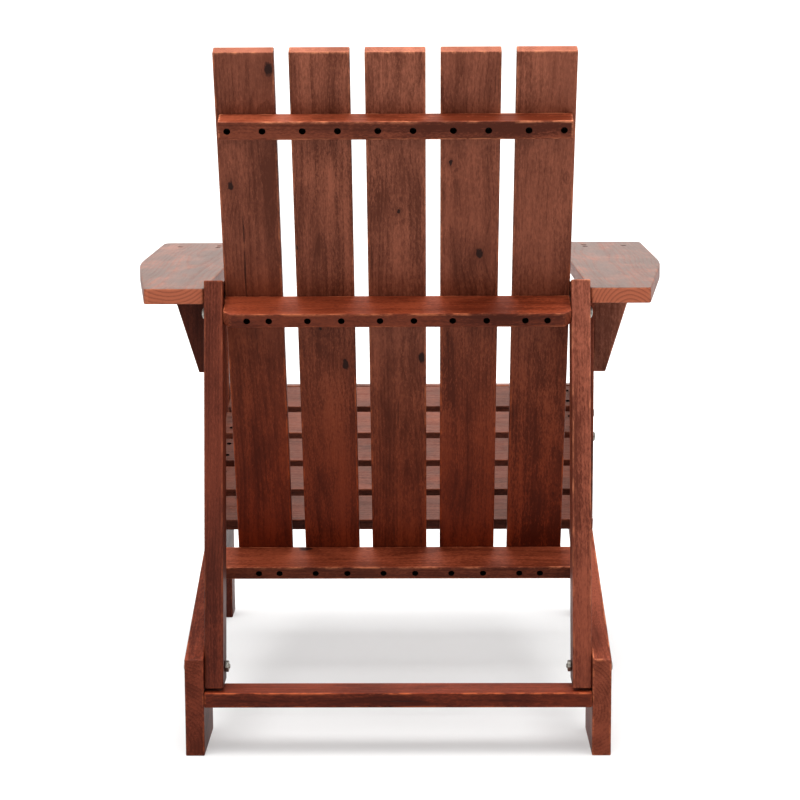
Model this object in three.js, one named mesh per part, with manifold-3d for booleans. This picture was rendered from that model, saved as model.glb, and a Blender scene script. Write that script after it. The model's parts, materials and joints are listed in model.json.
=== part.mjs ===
// Slatted wooden armchair with a reclined five-slat back, a sloping slatted seat and broad flat arms.
// Millimetres. +Z is up, the chair faces -Y and the sitter's left is +X. The origin is on the floor,
// under the middle of the chair's bounding box.
import * as THREE from 'three';
import { mergeVertices } from 'three/addons/utils/BufferGeometryUtils.js';
import Module from 'manifold-3d';

// Timber stock.
const GAP = 0.3;                 // clearance between pieces that touch
const EASE = 1.5;                // chamfer along every board edge
const FRAME_STOCK = 24;          // thickness of side rails and rear posts
const SLAT_WIDTH = 74;
const SLAT_THICKNESS = 18;
const SEAT_THICKNESS = 16;
const RAIL_THICKNESS = 19;       // battens and rear stretcher

// Base, measured forward from the back of the rear feet.
const BASE_HALF_WIDTH = 270;     // outer faces of the side rails
const FOOT_LENGTH = 118;
const FOOT_HEIGHT = 125.4;
const SEAT_SLOPE = THREE.MathUtils.degToRad(16.36);
const RAIL_DEPTH = 75;           // side rail, square to its slope
const RAIL_REACH = 760;
const LEG_THICKNESS = 29;
const LEG_DEPTH = 50;
const LEG_BACK = 715;
const LEG_HEIGHT = 567;
const STRETCHER_TOP = 82;
const STRETCHER_DEPTH = 48;

// Rear posts.
const POST_DEPTH = 48;
const POST_FOOT = 86;
const POST_BACK = 7;
const POST_HEIGHT = 512;
const POST_LEAN = THREE.MathUtils.degToRad(9.2);

// Seat.
const SEAT_SLATS = 5;
const SEAT_FRONT = 792.5;        // front edge of the front slat, along the slope
const SEAT_PITCH = 93.2;
const APRON_TOP = 365.3;
const APRON_HEIGHT = 90;
const APRON_THICKNESS = 20;

// Back.
const BACK_SLATS = 5;
const BACK_PITCH = 92.1;
const BACK_LEAN = THREE.MathUtils.degToRad(22.5);
const BACK_BASE_FORWARD = 268;
const BACK_BASE_UP = 213;
const BACK_LENGTH = 726;         // slats, from the top of the bottom batten
const BATTEN_DEPTH = 50;
const MIDDLE_BATTEN_TOP = 392;
const BATTEN_CORNER = 9;         // cut off the rear ends of the middle batten
const TOP_BATTEN_TOP = 646;
const TOP_BATTEN_DEPTH = 26;
const TOP_BATTEN_THICKNESS = 24;
const TOP_BATTEN_INSET = 4.5;    // from the outer edges of the slats
const POCKET_RADIUS = 4.2;       // counterbores behind the slats
const POCKET_DEPTH = 10;
const POCKET_OFFSET = 21.5;      // from a slat's centre line
const POCKET_SHIFT = 15;         // outermost pockets of the two lower battens move inward

// Arms and brackets.
const ARM_BACK = 92;
const ARM_FRONT = 815;
const ARM_WIDEST = 450;
const ARM_THICKNESS = 20;
const ARM_HALF_WIDTHS = { back: 323, widest: 373, front: 378 };
const ARM_CORNER = 14;
const ARM_BACK_CORNER = 5;
const ARM_BEND = 56;             // radius where the outside turns at its widest
const BRACKET_THICKNESS = 24;
const BRACKET_HEIGHT = 176;
const BRACKET_REACH = { top: 372, bottom: 318 };

// Hardware.
const ROUND_SIDES = 12;
const SCREW = { headRadius: 4.5, headHeight: 3.5, shankRadius: 2.5, sink: 3 };
const DEEP_SCREW = { ...SCREW, sink: 6 };
const BOLT_HEAD = 4;
const BOLT = { headRadius: 7.5, headHeight: BOLT_HEAD, shankRadius: 3.5, sink: -BOLT_HEAD - GAP };
const HEAD_FLAT = 0.6;           // flat top of a head, as a share of its radius
const CUT_START = 1;             // cutters start this far outside the wood
const LONG_SCREW = 60;
const BRACKET_SCREW = 45;
const ARM_BRACKET_SCREW = 50;
const APRON_SCREW = 55;
const STRETCHER_SCREW_SHARES = { rear: 0.25, front: 0.75 };   // of the stretcher's depth
const ARM_SCREW_OFFSETS = { rear: -14, front: 14 };           // from the leg's middle
const NUT_RADIUS = 7.5;
const NUT_THICKNESS = 5;
const BOLT_STANDOUT = 1.5;       // thread beyond the nut
const POST_BOLT_UP = 108;
const LEG_BOLTS = { lower: [728, 288], upper: [752, 322] };   // forward, up
const BOTTOM_BATTEN_SCREW = [236, 187];
const MIDDLE_BATTEN_BOLT = [104, 554.5];
const BRACKET_SCREW_UP = 480;
const ARM_BRACKET_SCREW_OUT = 345;
const APRON_SCREWS = { lower: 300, upper: 335 };

// Worked-out places.
const backOverhang = BACK_LENGTH * Math.sin(BACK_LEAN) - BACK_BASE_FORWARD;
const centreForward = (ARM_FRONT - backOverhang) / 2;
const railInner = BASE_HALF_WIDTH - FRAME_STOCK;
const postOuter = railInner - GAP;
const postInner = postOuter - FRAME_STOCK;
const legInner = BASE_HALF_WIDTH + GAP;
const legOuter = legInner + LEG_THICKNESS;
const armTop = LEG_HEIGHT + GAP + ARM_THICKNESS;
const legForward = LEG_BACK + LEG_DEPTH / 2;
const slatColumns = (BACK_SLATS - 1) / 2;
const slatsHalfWidth = slatColumns * BACK_PITCH + SLAT_WIDTH / 2;
const sides = [['left', 1], ['right', -1]];

const place = (forward, up, x = 0) => new THREE.Vector3(x, centreForward - forward, up);
const across = (forward, up) => [centreForward - forward, up];
const railTop = (forward) => FOOT_HEIGHT + forward * Math.tan(SEAT_SLOPE);
const postBack = (up) => POST_BACK + (up - POST_FOOT) * Math.tan(POST_LEAN);
const postMiddle = (up) => postBack(up) + POST_DEPTH / 2 / Math.cos(POST_LEAN);

// Materials.
const stain = (color, roughness) => new THREE.MeshStandardMaterial({ color, roughness, metalness: 0 });
const materials = {
  back: () => stain(0x6c3a2c, 0.45),
  batten: () => stain(0x7e3c2b, 0.42),
  frame: () => stain(0x6a3324, 0.48),
  seat: () => stain(0x8a5242, 0.5),
  arm: () => stain(0x8d5644, 0.45),
  steel: () => new THREE.MeshStandardMaterial({ color: 0xa9a6a0, roughness: 0.35, metalness: 0.9 }),
};

// A board is an outline pushed through its thickness; the facing turns it into place.
const axis = { x: new THREE.Vector3(1, 0, 0), y: new THREE.Vector3(0, 1, 0), z: new THREE.Vector3(0, 0, 1) };
const FLAT = new THREE.Matrix4();                                                      // outline in X and Y
const SIDE = new THREE.Matrix4().makeBasis(axis.y, axis.z, axis.x);                    // outline in Y and Z
const UPRIGHT = new THREE.Matrix4().makeBasis(axis.x, axis.z, axis.y.clone().negate()); // outline in X and Z

function outline(points) {
  return new THREE.Shape(points.map(([a, b]) => new THREE.Vector2(a, b)));
}

function rectangle(width, height) {
  const [w, h] = [width / 2, height / 2];
  return outline([[-w, -h], [w, -h], [w, h], [-w, h]]);
}

function board(shape, thickness, facing) {
  const geometry = new THREE.ExtrudeGeometry(shape, {
    depth: thickness - 2 * EASE,
    bevelThickness: EASE,
    bevelSize: EASE,
    bevelOffset: -EASE,
    bevelSegments: 1,
    curveSegments: 3,
  });
  return geometry.translate(0, 0, EASE).applyMatrix4(facing);
}

function add(group, name, geometry, material, position = new THREE.Vector3()) {
  const mesh = new THREE.Mesh(geometry, material);
  mesh.name = name;
  mesh.position.copy(position);
  group.add(mesh);
  return mesh;
}

// A piece on either side, whose thickness runs outward from its inner face.
function outward(side, inner, thickness) {
  return side > 0 ? inner : -inner - thickness;
}

// Cuts are made on bare closed meshes.
const wasm = await Module();
wasm.setup();

function toSolid(geometry) {
  const bare = geometry.clone();
  bare.deleteAttribute('normal');
  bare.deleteAttribute('uv');
  const merged = mergeVertices(bare);
  return new wasm.Manifold(new wasm.Mesh({
    numProp: 3,
    vertProperties: new Float32Array(merged.attributes.position.array),
    triVerts: new Uint32Array(merged.index.array),
  }));
}

function toGeometry(solid) {
  const { vertProperties, triVerts } = solid.getMesh();
  const geometry = new THREE.BufferGeometry();
  geometry.setAttribute('position', new THREE.BufferAttribute(new Float32Array(vertProperties), 3));
  geometry.setIndex(new THREE.BufferAttribute(new Uint32Array(triVerts), 1));
  const faceted = geometry.toNonIndexed();
  faceted.computeVertexNormals();
  return faceted;
}

function cut(mesh, cutters) {
  const solid = cutters.reduce((rest, cutter) => rest.subtract(toSolid(cutter)), toSolid(mesh.geometry));
  mesh.geometry = toGeometry(solid);
}

function rod(from, to, radius) {
  const run = new THREE.Vector3().subVectors(to, from);
  const turn = new THREE.Quaternion().setFromUnitVectors(axis.y, run.clone().normalize());
  const middle = new THREE.Vector3().addVectors(from, to).divideScalar(2);
  return new THREE.CylinderGeometry(radius, radius, run.length(), ROUND_SIDES)
    .applyQuaternion(turn)
    .translate(middle.x, middle.y, middle.z);
}

const chair = new THREE.Group();
const fasteners = [];

// A fastener starts on a face at a point and runs into the wood; it is also what drills the boards.
function fastener(name, face, into, length, kind, through) {
  const start = face.clone().addScaledVector(into, kind.sink);
  fasteners.push({ name, start, into, length, kind, through });
}

function clearance({ start, into, length, kind }) {
  const along = (distance) => start.clone().addScaledVector(into, distance);
  const shank = rod(start, along(length + GAP), kind.shankRadius + GAP);
  const outside = along(-Math.abs(kind.sink) - CUT_START);
  const head = rod(outside, along(kind.headHeight + GAP), kind.headRadius + GAP);
  return kind.sink > 0 ? [shank, head] : [shank];
}

function buildFastener({ name, start, into, length, kind }) {
  const { headRadius, headHeight, shankRadius } = kind;
  const profile = [
    [0, -length], [shankRadius, -length], [shankRadius, -headHeight], [headRadius, -headHeight],
    [headRadius, -headHeight / 2], [headRadius * HEAD_FLAT, 0], [0, 0],
  ].map(([r, y]) => new THREE.Vector2(r, y));
  const mesh = add(chair, name, new THREE.LatheGeometry(profile, ROUND_SIDES), materials.steel(), start);
  mesh.quaternion.setFromUnitVectors(axis.y.clone().negate(), into);
}

function drill(meshes) {
  for (const [name, mesh] of Object.entries(meshes)) {
    mesh.updateWorldMatrix(true, false);
    const toBoard = mesh.matrixWorld.clone().invert();
    const cutters = fasteners.filter((item) => item.through.includes(name)).flatMap(clearance);
    if (cutters.length) cut(mesh, cutters.map((cutter) => cutter.applyMatrix4(toBoard)));
  }
}

function hexNut(name, face, into) {
  const hexagon = new THREE.Shape();
  for (let corner = 0; corner < 6; corner += 1) {
    const angle = corner * Math.PI / 3;
    const point = [NUT_RADIUS * Math.cos(angle), NUT_RADIUS * Math.sin(angle)];
    if (corner) hexagon.lineTo(...point);
    else hexagon.moveTo(...point);
  }
  const hole = new THREE.Path();
  hole.absarc(0, 0, BOLT.shankRadius + GAP, 0, 2 * Math.PI, true);
  hexagon.holes.push(hole);
  const options = { depth: NUT_THICKNESS, bevelEnabled: false, curveSegments: ROUND_SIDES };
  const geometry = new THREE.ExtrudeGeometry(hexagon, options);
  const position = face.clone().addScaledVector(into, GAP);
  add(chair, name, geometry, materials.steel(), position).quaternion.setFromUnitVectors(axis.z, into);
}

// A bolt from an outer face, through everything, to a nut on an inner face.
function nutAndBolt(name, side, [forward, up], [outerX, innerX], through) {
  const inward = new THREE.Vector3(-side, 0, 0);
  const length = outerX - innerX - BOLT.sink + GAP + NUT_THICKNESS + BOLT_STANDOUT;
  fastener(`${name}_bolt`, place(forward, up, side * outerX), inward, length, BOLT, through);
  hexNut(`${name}_nut`, place(forward, up, side * innerX), inward);
}

// Side rail: a board sloping up to the front, with its rear foot sawn square to the floor.
function sideRail(side) {
  const lower = (forward) => railTop(forward) - RAIL_DEPTH / Math.cos(SEAT_SLOPE);
  const shape = outline([
    across(0, 0), across(FOOT_LENGTH, 0), across(FOOT_LENGTH, lower(FOOT_LENGTH)),
    across(RAIL_REACH, lower(RAIL_REACH)), across(RAIL_REACH, railTop(RAIL_REACH)), across(0, FOOT_HEIGHT),
  ]);
  return [board(shape, FRAME_STOCK, SIDE), place(centreForward, 0, outward(side, railInner, FRAME_STOCK))];
}

// Rear post: leans forward, cut level at the foot and square at the top.
function rearPost(side) {
  const top = POST_FOOT + POST_HEIGHT;
  const drop = POST_DEPTH * Math.sin(POST_LEAN);
  const shape = outline([
    across(postBack(POST_FOOT), POST_FOOT),
    across(postBack(POST_FOOT) + POST_DEPTH / Math.cos(POST_LEAN), POST_FOOT),
    across(postBack(top) + POST_DEPTH * Math.cos(POST_LEAN), top - drop),
    across(postBack(top), top),
  ]);
  return [board(shape, FRAME_STOCK, SIDE), place(centreForward, 0, outward(side, postInner, FRAME_STOCK))];
}

function frontLeg(side) {
  const x = outward(side, legInner, LEG_THICKNESS);
  const geometry = board(rectangle(LEG_DEPTH, LEG_HEIGHT), LEG_THICKNESS, SIDE);
  return [geometry, place(legForward, LEG_HEIGHT / 2, x)];
}

// Arm: straight inside, widening towards the front outside, with rounded corners.
function arm(side) {
  const { back, widest, front } = ARM_HALF_WIDTHS;
  const corners = [
    [railInner, ARM_BACK, ARM_BACK_CORNER],
    [back, ARM_BACK, ARM_BACK_CORNER],
    [widest, ARM_WIDEST, ARM_BEND],
    [front, ARM_FRONT, ARM_CORNER],
    [railInner, ARM_FRONT, ARM_CORNER],
  ].map(([x, forward, radius]) => [new THREE.Vector2(side * x, centreForward - forward), radius]);
  const shape = new THREE.Shape();
  corners.forEach(([corner, radius], index) => {
    const [before] = corners.at(index - 1);
    const [after] = corners[(index + 1) % corners.length];
    const start = before.clone().sub(corner).setLength(radius).add(corner);
    const end = after.clone().sub(corner).setLength(radius).add(corner);
    if (index) shape.lineTo(start.x, start.y);
    else shape.moveTo(start.x, start.y);
    shape.quadraticCurveTo(corner.x, corner.y, end.x, end.y);
  });
  return [board(shape, ARM_THICKNESS, FLAT), new THREE.Vector3(0, 0, LEG_HEIGHT + GAP)];
}

// Bracket: a tapered plate standing across the leg's outer face, under the arm.
function armBracket(side) {
  const [inner, foot] = [legOuter + GAP, LEG_HEIGHT - BRACKET_HEIGHT];
  const shape = outline([
    [side * inner, LEG_HEIGHT], [side * BRACKET_REACH.top, LEG_HEIGHT],
    [side * BRACKET_REACH.bottom, foot], [side * inner, foot],
  ]);
  return [board(shape, BRACKET_THICKNESS, UPRIGHT), place(legForward - BRACKET_THICKNESS / 2, 0)];
}

// Battens across the back: plates with blind pockets in their rear edge, two behind each slat.
function batten(depth, halfLength, thickness, corner) {
  const front = [[-halfLength, 0], [halfLength, 0]];
  const square = [[halfLength, depth], [-halfLength, depth]];
  const cornered = [
    [halfLength, depth - corner], [halfLength - corner, depth],
    [corner - halfLength, depth], [-halfLength, depth - corner],
  ];
  return board(outline([...front, ...(corner ? cornered : square)]), thickness, FLAT);
}

function pockets(depth, thickness, outerShift) {
  const cutters = [];
  for (let slat = 0; slat < BACK_SLATS; slat += 1) {
    for (const offset of [-POCKET_OFFSET, POCKET_OFFSET]) {
      const column = slat - slatColumns;
      const outermost = Math.abs(column) === slatColumns && column * offset > 0;
      const x = column * BACK_PITCH + offset - (outermost ? Math.sign(offset) * outerShift : 0);
      const mouth = new THREE.Vector3(x, depth + CUT_START, thickness / 2);
      const floor = new THREE.Vector3(x, depth - POCKET_DEPTH, thickness / 2);
      cutters.push(rod(mouth, floor, POCKET_RADIUS));
    }
  }
  return cutters;
}

const boards = {};
function addBoard(group, name, geometry, material, position) {
  boards[name] = add(group, name, geometry, material, position);
  return boards[name];
}

// Base and arms.
const sidePieces = {
  side_rail: sideRail,
  rear_post: rearPost,
  front_leg: frontLeg,
  arm,
  arm_bracket: armBracket,
};
for (const [label, side] of sides) {
  for (const [piece, build] of Object.entries(sidePieces)) {
    const [geometry, position] = build(side);
    const material = piece.startsWith('arm') ? materials.arm() : materials.frame();
    addBoard(chair, `${label}_${piece}`, geometry, material, position);
  }
}
const stretcher = board(rectangle(2 * (railInner - GAP), STRETCHER_DEPTH), RAIL_THICKNESS, FLAT);
const stretcherPlace = place(STRETCHER_DEPTH / 2, STRETCHER_TOP - RAIL_THICKNESS);
addBoard(chair, 'rear_stretcher', stretcher, materials.batten(), stretcherPlace);
const apron = board(rectangle(2 * BASE_HALF_WIDTH, APRON_HEIGHT), APRON_THICKNESS, UPRIGHT);
const apronPlace = place(RAIL_REACH + GAP, APRON_TOP - APRON_HEIGHT / 2);
addBoard(chair, 'front_apron', apron, materials.seat(), apronPlace);

// Seat: the group lies along the tops of the side rails, -Y running up to the front.
const seat = new THREE.Group();
seat.position.copy(place(0, FOOT_HEIGHT));
seat.rotation.x = -SEAT_SLOPE;
chair.add(seat);
for (let slat = 0; slat < SEAT_SLATS; slat += 1) {
  const forward = SEAT_FRONT - SLAT_WIDTH / 2 - slat * SEAT_PITCH;
  const geometry = board(rectangle(2 * BASE_HALF_WIDTH, SLAT_WIDTH), SEAT_THICKNESS, FLAT);
  addBoard(seat, `seat_slat_${slat + 1}`, geometry, materials.seat(), new THREE.Vector3(0, -forward, GAP));
}

// Back: +Z runs up the rear faces of the slats and +Y points away behind them.
const back = new THREE.Group();
back.position.copy(place(BACK_BASE_FORWARD, BACK_BASE_UP));
back.rotation.x = -BACK_LEAN;
chair.add(back);
for (let slat = 0; slat < BACK_SLATS; slat += 1) {
  const middleUp = (BACK_LENGTH - RAIL_THICKNESS) / 2;
  const position = new THREE.Vector3((slatColumns - slat) * BACK_PITCH, 0, middleUp);
  const geometry = board(rectangle(SLAT_WIDTH, BACK_LENGTH + RAIL_THICKNESS), SLAT_THICKNESS, UPRIGHT);
  addBoard(back, `back_slat_${slat + 1}`, geometry, materials.back(), position);
}
const longBatten = { depth: BATTEN_DEPTH, thickness: RAIL_THICKNESS, shift: POCKET_SHIFT };
const battens = {
  bottom_batten: { ...longBatten, top: 0, halfLength: railInner - GAP, corner: 0 },
  middle_batten: {
    ...longBatten,
    top: MIDDLE_BATTEN_TOP,
    halfLength: postInner - GAP,
    corner: BATTEN_CORNER,
  },
  top_batten: {
    top: TOP_BATTEN_TOP,
    depth: TOP_BATTEN_DEPTH,
    thickness: TOP_BATTEN_THICKNESS,
    halfLength: slatsHalfWidth - TOP_BATTEN_INSET,
    corner: 0,
    shift: 0,
  },
};
for (const [name, { top, depth, thickness, halfLength, corner, shift }] of Object.entries(battens)) {
  const geometry = batten(depth, halfLength, thickness, corner);
  const position = new THREE.Vector3(0, GAP, top - thickness);
  const mesh = addBoard(back, name, geometry, materials.batten(), position);
  cut(mesh, pockets(depth, thickness, shift));
}

// Hardware, the same on both sides.
const down = new THREE.Vector3(0, 0, -1);
const backward = new THREE.Vector3(0, 1, 0);
for (const [label, side] of sides) {
  const inward = new THREE.Vector3(-side, 0, 0);
  const outwards = new THREE.Vector3(side, 0, 0);
  const own = (...names) => names.map((name) => `${label}_${name}`);
  const at = ([forward, up], x) => place(forward, up, side * x);
  const drive = (name, face, into, length, kind, parts) => (
    fastener(`${label}_${name}`, face, into, length, kind, parts)
  );

  const postSpot = [postMiddle(POST_BOLT_UP), POST_BOLT_UP];
  nutAndBolt(`${label}_post`, side, postSpot, [BASE_HALF_WIDTH, postInner], own('side_rail', 'rear_post'));
  for (const [level, spot] of Object.entries(LEG_BOLTS)) {
    nutAndBolt(`${label}_leg_${level}`, side, spot, [legOuter, railInner], own('front_leg', 'side_rail'));
  }

  const stretcherMiddle = STRETCHER_TOP - RAIL_THICKNESS / 2;
  const stretcherBoards = [...own('side_rail'), 'rear_stretcher'];
  for (const [end, share] of Object.entries(STRETCHER_SCREW_SHARES)) {
    const face = at([share * STRETCHER_DEPTH, stretcherMiddle], BASE_HALF_WIDTH);
    drive(`stretcher_screw_${end}`, face, inward, LONG_SCREW, SCREW, stretcherBoards);
  }
  const lowerFace = at(BOTTOM_BATTEN_SCREW, BASE_HALF_WIDTH);
  drive('bottom_batten_screw', lowerFace, inward, LONG_SCREW, SCREW, [...own('side_rail'), 'bottom_batten']);
  const middleFace = at(MIDDLE_BATTEN_BOLT, postOuter);
  drive('middle_batten_bolt', middleFace, inward, LONG_SCREW, BOLT, [...own('rear_post'), 'middle_batten']);

  const armMiddle = armTop - ARM_THICKNESS / 2;
  const armFace = at([postMiddle(armMiddle), armMiddle], postInner);
  drive('arm_back_screw', armFace, outwards, LONG_SCREW, SCREW, own('rear_post', 'arm'));
  const bracketFace = at([legForward, BRACKET_SCREW_UP], legInner);
  drive('bracket_screw', bracketFace, outwards, BRACKET_SCREW, SCREW, own('front_leg', 'arm_bracket'));
  for (const [end, offset] of Object.entries(ARM_SCREW_OFFSETS)) {
    const face = at([legForward + offset, armTop], legInner + LEG_THICKNESS / 2);
    drive(`arm_screw_${end}`, face, down, LONG_SCREW, DEEP_SCREW, own('arm', 'front_leg'));
  }
  const outerFace = at([legForward, armTop], ARM_BRACKET_SCREW_OUT);
  drive('arm_bracket_screw', outerFace, down, ARM_BRACKET_SCREW, DEEP_SCREW, own('arm', 'arm_bracket'));
  for (const [level, up] of Object.entries(APRON_SCREWS)) {
    const face = at([RAIL_REACH + GAP + APRON_THICKNESS, up], railInner + FRAME_STOCK / 2);
    drive(`apron_screw_${level}`, face, backward, APRON_SCREW, SCREW, ['front_apron', ...own('side_rail')]);
  }
}
drill(boards);
fasteners.forEach(buildFastener);

export default chair;
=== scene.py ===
"""Finishes a slatted garden armchair around its frame: stained boards, their hardware and a plain stage."""

import json
import math
import random

import bmesh
import bpy
from bpy.props import FloatProperty, FloatVectorProperty, IntProperty, PointerProperty
from mathutils import Matrix, Vector


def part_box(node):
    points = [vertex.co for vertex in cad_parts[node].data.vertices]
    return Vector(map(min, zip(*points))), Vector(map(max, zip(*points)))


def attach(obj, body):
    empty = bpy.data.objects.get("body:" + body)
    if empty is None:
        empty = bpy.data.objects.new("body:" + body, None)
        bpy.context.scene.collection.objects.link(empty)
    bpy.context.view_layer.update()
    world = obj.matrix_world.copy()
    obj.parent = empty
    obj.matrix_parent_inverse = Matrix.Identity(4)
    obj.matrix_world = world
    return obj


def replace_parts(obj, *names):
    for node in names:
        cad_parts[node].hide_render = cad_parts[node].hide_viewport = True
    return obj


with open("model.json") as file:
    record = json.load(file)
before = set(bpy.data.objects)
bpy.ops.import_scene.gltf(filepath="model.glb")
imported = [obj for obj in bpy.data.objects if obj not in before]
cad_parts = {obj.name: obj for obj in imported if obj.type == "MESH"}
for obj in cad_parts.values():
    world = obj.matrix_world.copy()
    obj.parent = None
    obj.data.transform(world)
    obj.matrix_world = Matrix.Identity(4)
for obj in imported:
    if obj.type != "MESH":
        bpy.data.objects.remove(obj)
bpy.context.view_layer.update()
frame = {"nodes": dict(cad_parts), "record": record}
SLOTS = {part["node"]: part["material_slot"] for part in frame["record"]["subparts"]}
METAL_SLOT = "steel"
BODY = "root"
UPRIGHT = (0, 0, 1)
SIDES = ("left", "right")
SLAT_COUNT = 5  # in the back and in the seat

# Measures, in metres where they are lengths.
SAME_POINT = 1e-5  # closer corners are one corner
SAME_PLANE = 1e-4
PARALLEL = 0.9999  # the cosine between two directions that count as one
STRAIGHT = 0.01  # an outline that turns less than this at a corner has no corner there
RIM_WIDTH = 0.0025  # more than the chamfer along the frame's edges
SHARP = math.radians(40)  # a turn of more than this is an edge
EDGE_SEGMENTS = 3
BURIED = 0.0006  # deeper in the wood than any point of a rounded edge
CLEAR = 0.001  # cutters start this far outside the wood
SINK = 0.008  # deeper than the frame's deepest counterbore
FIT = 0.0002  # round a fastener in its hole
BIT_SIDES = 24
RIM_SHARE = 0.97  # of a head's radius; its rim lies beyond
THREAD_ROOT = 0.84  # of the radius of a bolt or screw
THREAD_PITCH = 0.0012
BOLT_THREAD = 0.016  # from the tip of a bolt
BOLT_DOME = 0.8  # of the head's height
NUT_CHAMFER = 0.12  # of the nut's radius
CROSS = (1.5, 0.34, 0.9)  # length, width and depth of a screw's recess, in head radii
SCREW_HEAD_HEIGHT = 0.6  # of the head's radius
SCREW_SHANK = 0.5  # of the head's radius
SCREW_SEED = 7

# Painted shade: the boards' colour is darkest near the floor and lightens going up.
LOW_SHADE_TONE = 0.6
SHADE_TONE_RISE = 0.72  # for each metre up
HIGH_SHADE_TONE = 1.2  # at most

# Brightness, warmth and wear given board by board; the left rail, post and bracket are darker than the
# right ones.
BACK_TONES = ((0.96, 0.0, 1.0), (1.0, 0.04, 1.0), (1.05, 0.1, 1.0), (0.98, 0.02, 1.0), (1.0, 0.06, 1.0))
SEAT_TONES = ((0.77, 0.1, 0.8), (0.86, 0.14, 0.8), (0.73, 0.05, 0.8), (0.82, 0.12, 0.8), (0.77, 0.08, 0.8))
BATTEN_TONES = {
    "bottom_batten": (1.35, 0.02, 1.2),
    "middle_batten": (0.92, 0.02, 1.2),
    "top_batten": (0.95, 0.02, 1.2),
}
STRETCHER_TONE = (1.15, 0.0, 1.6)
APRON_TONE = (1.0, 0.05, 1.0)
RAIL_TONES = {"left": (0.95, 0.0, 1.2), "right": (1.3, 0.08, 1.5)}
POST_TONES = {"left": (0.79, 0.0, 0.8), "right": (1.27, 0.22, 1.2)}
LEG_TONE = (0.95, 0.0, 1.0)
ARM_TONE = (1.05, 0.1, 0.7)
BRACKET_TONES = {"left": (0.55, 0.0, 0.6), "right": (1.45, 0.1, 1.0)}

# The stage.
FLOOR_RADIUS = 4.0
BACKDROP_BEND = 3.5
BACKDROP_HEIGHT = 4.0
BACKDROP_STEPS = 96
CHAIR = Vector((0, 0, 0.4))  # what the lights point at
WALL = Vector((0, -6.5, 1.2))
SENSOR_WIDTH = 36.0  # in millimetres
VIEW_DEPTH = 50.0

bl_info = {
    "name": "Slatted Garden Armchair",
    "version": (1, 0, 0),
    "blender": (4, 5, 0),
    "location": "View3D > Sidebar > Armchair",
    "description": "Builds the boards, fasteners, finishes and stage of a slatted garden armchair",
    "category": "Add Mesh",
}


def linear(red, green, blue):
    """A colour given from 0 to 255, as the renderer wants it."""
    return tuple(
        part / 12.92 if part <= 0.04045 else ((part + 0.055) / 1.055) ** 2.4
        for part in (red / 255, green / 255, blue / 255)
    )


def length_property(name, description, default):
    """A size that a user may change, in metres."""
    return FloatProperty(
        name=name, description=description, default=default, min=0.0, unit="LENGTH", precision=5
    )


def colour_property(name, description, default):
    """A colour that a user may change."""
    return FloatVectorProperty(
        name=name, description=description, default=default, size=3, subtype="COLOR", min=0.0, max=1.0
    )


def angle_property(name, description, degrees):
    """An angle that a user may change, given in degrees."""
    return FloatProperty(name=name, description=description, default=math.radians(degrees), subtype="ANGLE")


def power_property(name, description, default):
    """The power of a light, in watts."""
    return FloatProperty(name=name, description=description, default=default, min=0.0, unit="POWER")


class ArmchairSizes(bpy.types.PropertyGroup):
    """Sizes of the woodwork and of the small hardware that the frame leaves out."""

    edge_radius: length_property("Edge radius", "Rounding along every board edge", 0.0015)
    edge_margin: length_property("Edge margin", "Strip beside an edge that wears with it", 0.0018)
    pocket_radius: length_property("Pocket radius", "Counterbores in the battens behind the slats", 0.0042)
    pocket_depth: length_property("Pocket depth", "Depth of those counterbores", 0.010)
    pocket_offset: length_property("Pocket offset", "From a slat's centre line to each screw", 0.0215)
    pocket_shift: length_property("Pocket shift", "Outermost screws of long battens, inward", 0.015)
    screw_radius: length_property("Screw head radius", "Heads of the wood screws", 0.0034)
    seat_screw_offset: length_property("Seat screw offset", "From a slat's centre line to a screw", 0.019)
    small_screw_length: length_property("Small screw length", "Screws of the battens and the seat", 0.032)
    seat_screw_sink: length_property("Seat screw sink", "Depth of the seat's counterbores", 0.0035)
    spin_steps: IntProperty(name="Steps", description="Sides of a turned fastener", default=24, min=12)


class ArmchairFinish(bpy.types.PropertyGroup):
    """Colours of the stained timber and of the metal."""

    back_stain: colour_property("Back stain", "Slats of the back", linear(114, 64, 47))
    rail_stain: colour_property("Rail stain", "Battens and stretcher", linear(101, 50, 33))
    frame_stain: colour_property("Frame stain", "Side rails, posts and legs", linear(115, 61, 45))
    seat_stain: colour_property("Seat stain", "Seat slats and apron", linear(110, 67, 54))
    arm_stain: colour_property("Arm stain", "Arms and brackets", linear(112, 64, 48))
    # A pale bloom on what faces up, partly dust and partly painted sheen.
    dust_and_sheen: colour_property("Dust and sheen", "Dusty bloom on what faces up", linear(103, 90, 84))
    knot: colour_property("Knot", "Hearts of the knots and open checks", linear(30, 12, 8))
    # Pale edges, partly rubbed wear and partly painted highlight.
    rubbed_edge_and_highlight: colour_property("Worn edge", "Where the stain has rubbed thin", linear(186, 118, 86))
    end_wood: colour_property("End grain", "Sawn ends", linear(157, 90, 66))
    # Painted shade inside holes.
    hole: colour_property("Hole shade", "Inside the counterbores", linear(20, 9, 6))
    zinc: colour_property("Zinc", "Plated bolts and nuts", linear(160, 157, 150))
    screw: colour_property("Screw", "Dark wood screws", linear(58, 52, 48))


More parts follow.
